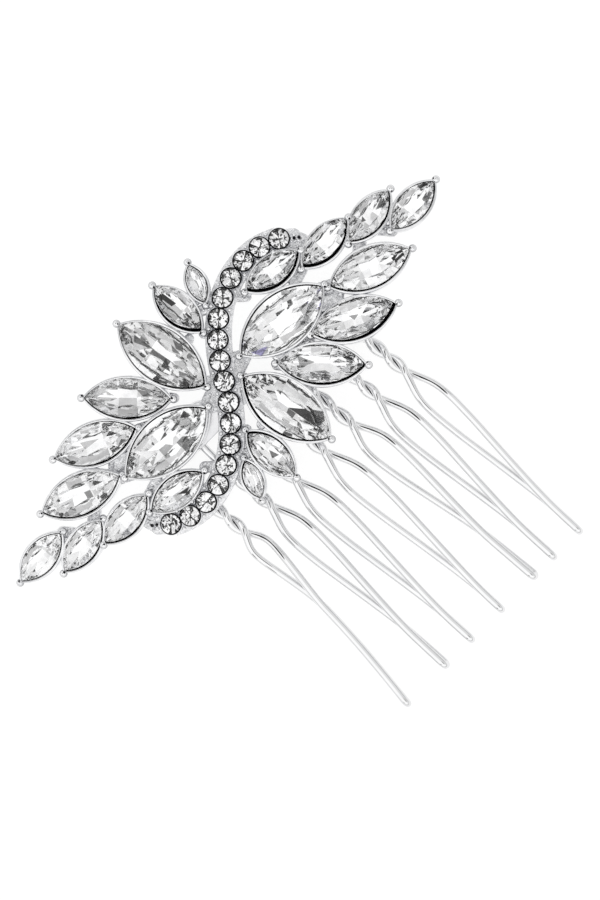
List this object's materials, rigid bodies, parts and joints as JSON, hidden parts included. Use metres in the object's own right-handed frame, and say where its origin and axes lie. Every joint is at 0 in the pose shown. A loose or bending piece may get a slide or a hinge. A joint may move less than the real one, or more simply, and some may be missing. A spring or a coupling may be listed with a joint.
{
  "type": "hair comb",
  "caption": "Leaf-spray bridal hair comb: a curved plated casting set with pointed leaf and round crystals, on a row of twisted wire teeth.",
  "frame": {"origin": "on the resting plane, under the middle of the part's bounding box", "axes": "+X along the leaf spray, +Y away from the teeth's tips, which point to -Y, +Z out of the front of the stones"},
  "size_m": [0.1012, 0.0827, 0.0095],
  "materials": {
    "cast_plating": "bright silver plating over a lightly grained zinc alloy casting",
    "wire_plating": "smooth bright silver plated wire",
    "plate_plating": "silver plated sheet, slightly satin",
    "leaf_crystal": "clear foil-backed crystal with long facets",
    "round_crystal": "clear foil-backed crystal, brilliant cut"
  },
  "bodies": {
    "root": {"cast_frame": "cast_plating", "comb_wire": "wire_plating", "left_bridge_plate": "plate_plating", "right_bridge_plate": "plate_plating", "large_leaf_stone_1": "leaf_crystal", "large_leaf_stone_2": "leaf_crystal", "large_leaf_stone_3": "leaf_crystal", "large_leaf_stone_4": "leaf_crystal", "medium_leaf_stone_1": "leaf_crystal", "medium_leaf_stone_2": "leaf_crystal", "medium_leaf_stone_3": "leaf_crystal", "medium_leaf_stone_4": "leaf_crystal", "medium_leaf_stone_5": "leaf_crystal", "medium_leaf_stone_6": "leaf_crystal", "small_leaf_stone_1": "leaf_crystal", "small_leaf_stone_2": "leaf_crystal", "small_leaf_stone_3": "leaf_crystal", "small_leaf_stone_4": "leaf_crystal", "small_leaf_stone_5": "leaf_crystal", "small_leaf_stone_6": "leaf_crystal", "small_leaf_stone_7": "leaf_crystal", "small_leaf_stone_8": "leaf_crystal", "small_leaf_stone_9": "leaf_crystal", "small_leaf_stone_10": "leaf_crystal", "tiny_leaf_stone_1": "leaf_crystal", "tiny_leaf_stone_2": "leaf_crystal", "round_stone_01": "round_crystal", "round_stone_02": "round_crystal", "round_stone_03": "round_crystal", "round_stone_04": "round_crystal", "round_stone_05": "round_crystal", "round_stone_06": "round_crystal", "round_stone_07": "round_crystal", "round_stone_08": "round_crystal", "round_stone_09": "round_crystal", "round_stone_10": "round_crystal", "round_stone_11": "round_crystal", "round_stone_12": "round_crystal", "round_stone_13": "round_crystal", "round_stone_14": "round_crystal", "round_stone_15": "round_crystal", "round_stone_16": "round_crystal", "round_stone_17": "round_crystal"}
  },
  "joints": []
}
